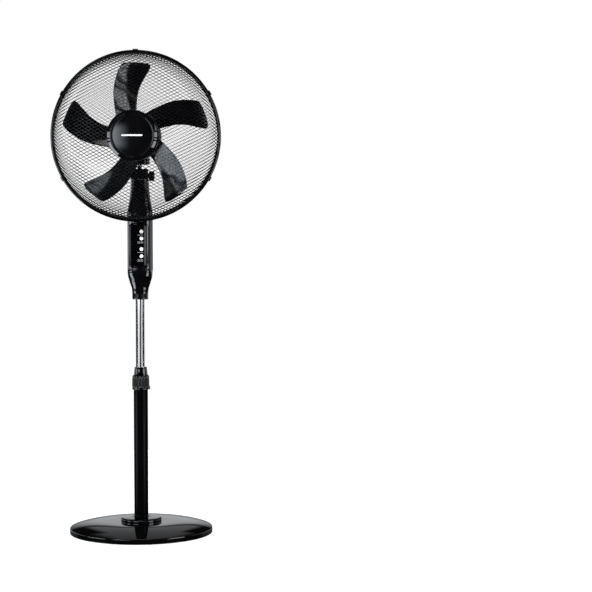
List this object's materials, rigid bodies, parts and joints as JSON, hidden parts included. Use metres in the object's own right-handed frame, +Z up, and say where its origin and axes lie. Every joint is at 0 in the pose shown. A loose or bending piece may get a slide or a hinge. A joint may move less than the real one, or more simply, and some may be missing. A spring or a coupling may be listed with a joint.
{
  "type": "pedestal fan",
  "caption": "Free-standing pedestal fan: round weighted base, telescopic column, push-button housing, tilting and swinging head with a caged bladed rotor.",
  "frame": {"origin": "middle of the footprint, on the floor under the feet", "axes": "+Z up along the column; -Y is the front, the way the fan blows at rest; +X to the right seen from the front"},
  "size_m": [0.4439, 0.378, 1.2755],
  "materials": {
    "gloss_black_plastic": "high gloss injection moulded black plastic",
    "blade_black": "glossy black moulded blades",
    "window_black": "piano black control window",
    "satin_black_plastic": "satin black moulded plastic",
    "guard_lattice": "thin black coated lattice",
    "rubber_feet": "soft black rubber",
    "black_tube": "gloss black enamelled steel tube",
    "chrome_tube": "bright chromium plated steel tube",
    "white_button": "white moulded push buttons",
    "steel": "bright zinc plated or machined steel",
    "cast_iron": "dark painted cast iron",
    "die_cast": "die cast aluminium",
    "nylon": "natural nylon",
    "copper_winding": "enamelled copper windings",
    "circuit_board": "green circuit board"
  },
  "bodies": {
    "base": {"base_cover": "gloss_black_plastic", "base_weight": "cast_iron", "base_feet": "rubber_feet", "pole_flange": "gloss_black_plastic", "tube_foot_plug": "steel", "base_bolt": "steel", "base_washer": "steel", "outer_tube": "black_tube", "collar_body": "satin_black_plastic", "clamp_collet": "nylon"},
    "lock_nut": {"height_lock_nut": "satin_black_plastic"},
    "column": {"inner_tube": "chrome_tube", "tube_end_bush": "nylon", "housing_front": "gloss_black_plastic", "housing_rear": "gloss_black_plastic", "panel_window": "window_black", "control_board": "circuit_board", "tact_switches": "satin_black_plastic", "ir_receiver": "satin_black_plastic", "housing_screws": "steel", "cord_grommet": "rubber_feet", "tube_clamp_screw": "steel", "neck_fork": "gloss_black_plastic", "tilt_nut": "steel"},
    "power_button": {"power_button": "white_button"},
    "speed_button": {"speed_button": "white_button"},
    "swing_button": {"swing_button": "white_button"},
    "timer_button": {"timer_button": "white_button"},
    "knob": {"tilt_bolt": "steel", "tilt_knob": "gloss_black_plastic"},
    "tilt": {"tilt_bracket": "satin_black_plastic", "swing_spindle": "steel", "sector_gear": "nylon"},
    "head": {"swing_motor": "steel", "swing_bush": "nylon", "motor_front_bracket": "die_cast", "motor_rear_bracket": "die_cast", "stator_core": "steel", "stator_coils": "copper_winding", "motor_bearings": "steel", "run_capacitor": "satin_black_plastic", "motor_cover": "gloss_black_plastic", "rear_guard_mesh": "guard_lattice", "rear_guard_rim": "gloss_black_plastic", "guard_nut": "satin_black_plastic", "front_guard_mesh": "guard_lattice", "front_guard_rim": "gloss_black_plastic", "front_badge": "gloss_black_plastic"},
    "pinion": {"swing_pinion": "nylon"},
    "rotor": {"rotor_core": "steel", "motor_shaft": "steel", "fan_blade": "blade_black", "spinner_nut": "satin_black_plastic", "shaft_pin": "steel"},
    "clip_1": {"guard_clip_1": "gloss_black_plastic"},
    "clip_2": {"guard_clip_2": "gloss_black_plastic"},
    "clip_3": {"guard_clip_3": "gloss_black_plastic"},
    "clip_4": {"guard_clip_4": "gloss_black_plastic"},
    "clip_5": {"guard_clip_5": "gloss_black_plastic"},
    "clip_6": {"guard_clip_6": "gloss_black_plastic"}
  },
  "joints": [
    {"name": "height_slide", "type": "slide", "parent": "base", "child": "column", "axis": [0, 0, 1], "range_m": [-0.17, 0.03]},
    {"name": "lock_nut_turn", "type": "hinge", "parent": "base", "child": "lock_nut", "pos_m": [0, 0, 0.41], "axis": [0, 0, 1], "range_deg": [0, 180]},
    {"name": "power_press", "type": "slide", "parent": "column", "child": "power_button", "axis": [0, 1, 0], "range_m": [0, 0.001], "stiffness_N_per_m": 400, "springref_m": -0.001},
    {"name": "speed_press", "type": "slide", "parent": "column", "child": "speed_button", "axis": [0, 1, 0], "range_m": [0, 0.001], "stiffness_N_per_m": 400, "springref_m": -0.001},
    {"name": "swing_press", "type": "slide", "parent": "column", "child": "swing_button", "axis": [0, 1, 0], "range_m": [0, 0.001], "stiffness_N_per_m": 400, "springref_m": -0.001},
    {"name": "timer_press", "type": "slide", "parent": "column", "child": "timer_button", "axis": [0, 1, 0], "range_m": [0, 0.001], "stiffness_N_per_m": 400, "springref_m": -0.001},
    {"name": "tilt", "type": "hinge", "parent": "column", "child": "tilt", "pos_m": [0, 0, 0.948], "axis": [1, 0, 0], "range_deg": [-20, 5]},
    {"name": "tilt_knob_turn", "type": "hinge", "parent": "column", "child": "knob", "pos_m": [0, 0, 0.948], "axis": [1, 0, 0], "range_deg": [0, 360]},
    {"name": "swing", "type": "hinge", "parent": "tilt", "child": "head", "pos_m": [0, 0, 0.973], "axis": [0, 0, 1], "range_deg": [-37, 37]},
    {"name": "pinion_spin", "type": "hinge", "parent": "head", "child": "pinion", "pos_m": [0, 0.024, 0.983], "axis": [0, 0, 1], "range_deg": [-150, 150]},
    {"name": "blade_spin", "type": "hinge", "parent": "head", "child": "rotor", "pos_m": [0, 0, 1.051], "axis": [0, -1, 0], "continuous": true},
    {"name": "clip_1_hinge", "type": "hinge", "parent": "head", "child": "clip_1", "pos_m": [0, -0.0845, 1.269], "axis": [1, 0, 0], "range_deg": [0, 35]},
    {"name": "clip_2_hinge", "type": "hinge", "parent": "head", "child": "clip_2", "pos_m": [0.18879, -0.0845, 1.16], "axis": [0.5, 0, -0.866], "range_deg": [0, 35]},
    {"name": "clip_3_hinge", "type": "hinge", "parent": "head", "child": "clip_3", "pos_m": [0.18879, -0.0845, 0.942], "axis": [-0.5, 0, -0.866], "range_deg": [0, 35]},
    {"name": "clip_4_hinge", "type": "hinge", "parent": "head", "child": "clip_4", "pos_m": [0, -0.0845, 0.833], "axis": [-1, 0, 0], "range_deg": [0, 35]},
    {"name": "clip_5_hinge", "type": "hinge", "parent": "head", "child": "clip_5", "pos_m": [-0.18879, -0.0845, 0.942], "axis": [-0.5, 0, 0.866], "range_deg": [0, 35]},
    {"name": "clip_6_hinge", "type": "hinge", "parent": "head", "child": "clip_6", "pos_m": [-0.18879, -0.0845, 1.16], "axis": [0.5, 0, 0.866], "range_deg": [0, 35]}
  ],
  "couplings": [
    {"joint": "pinion_spin", "follows": "swing", "ratio": 4}
  ]
}
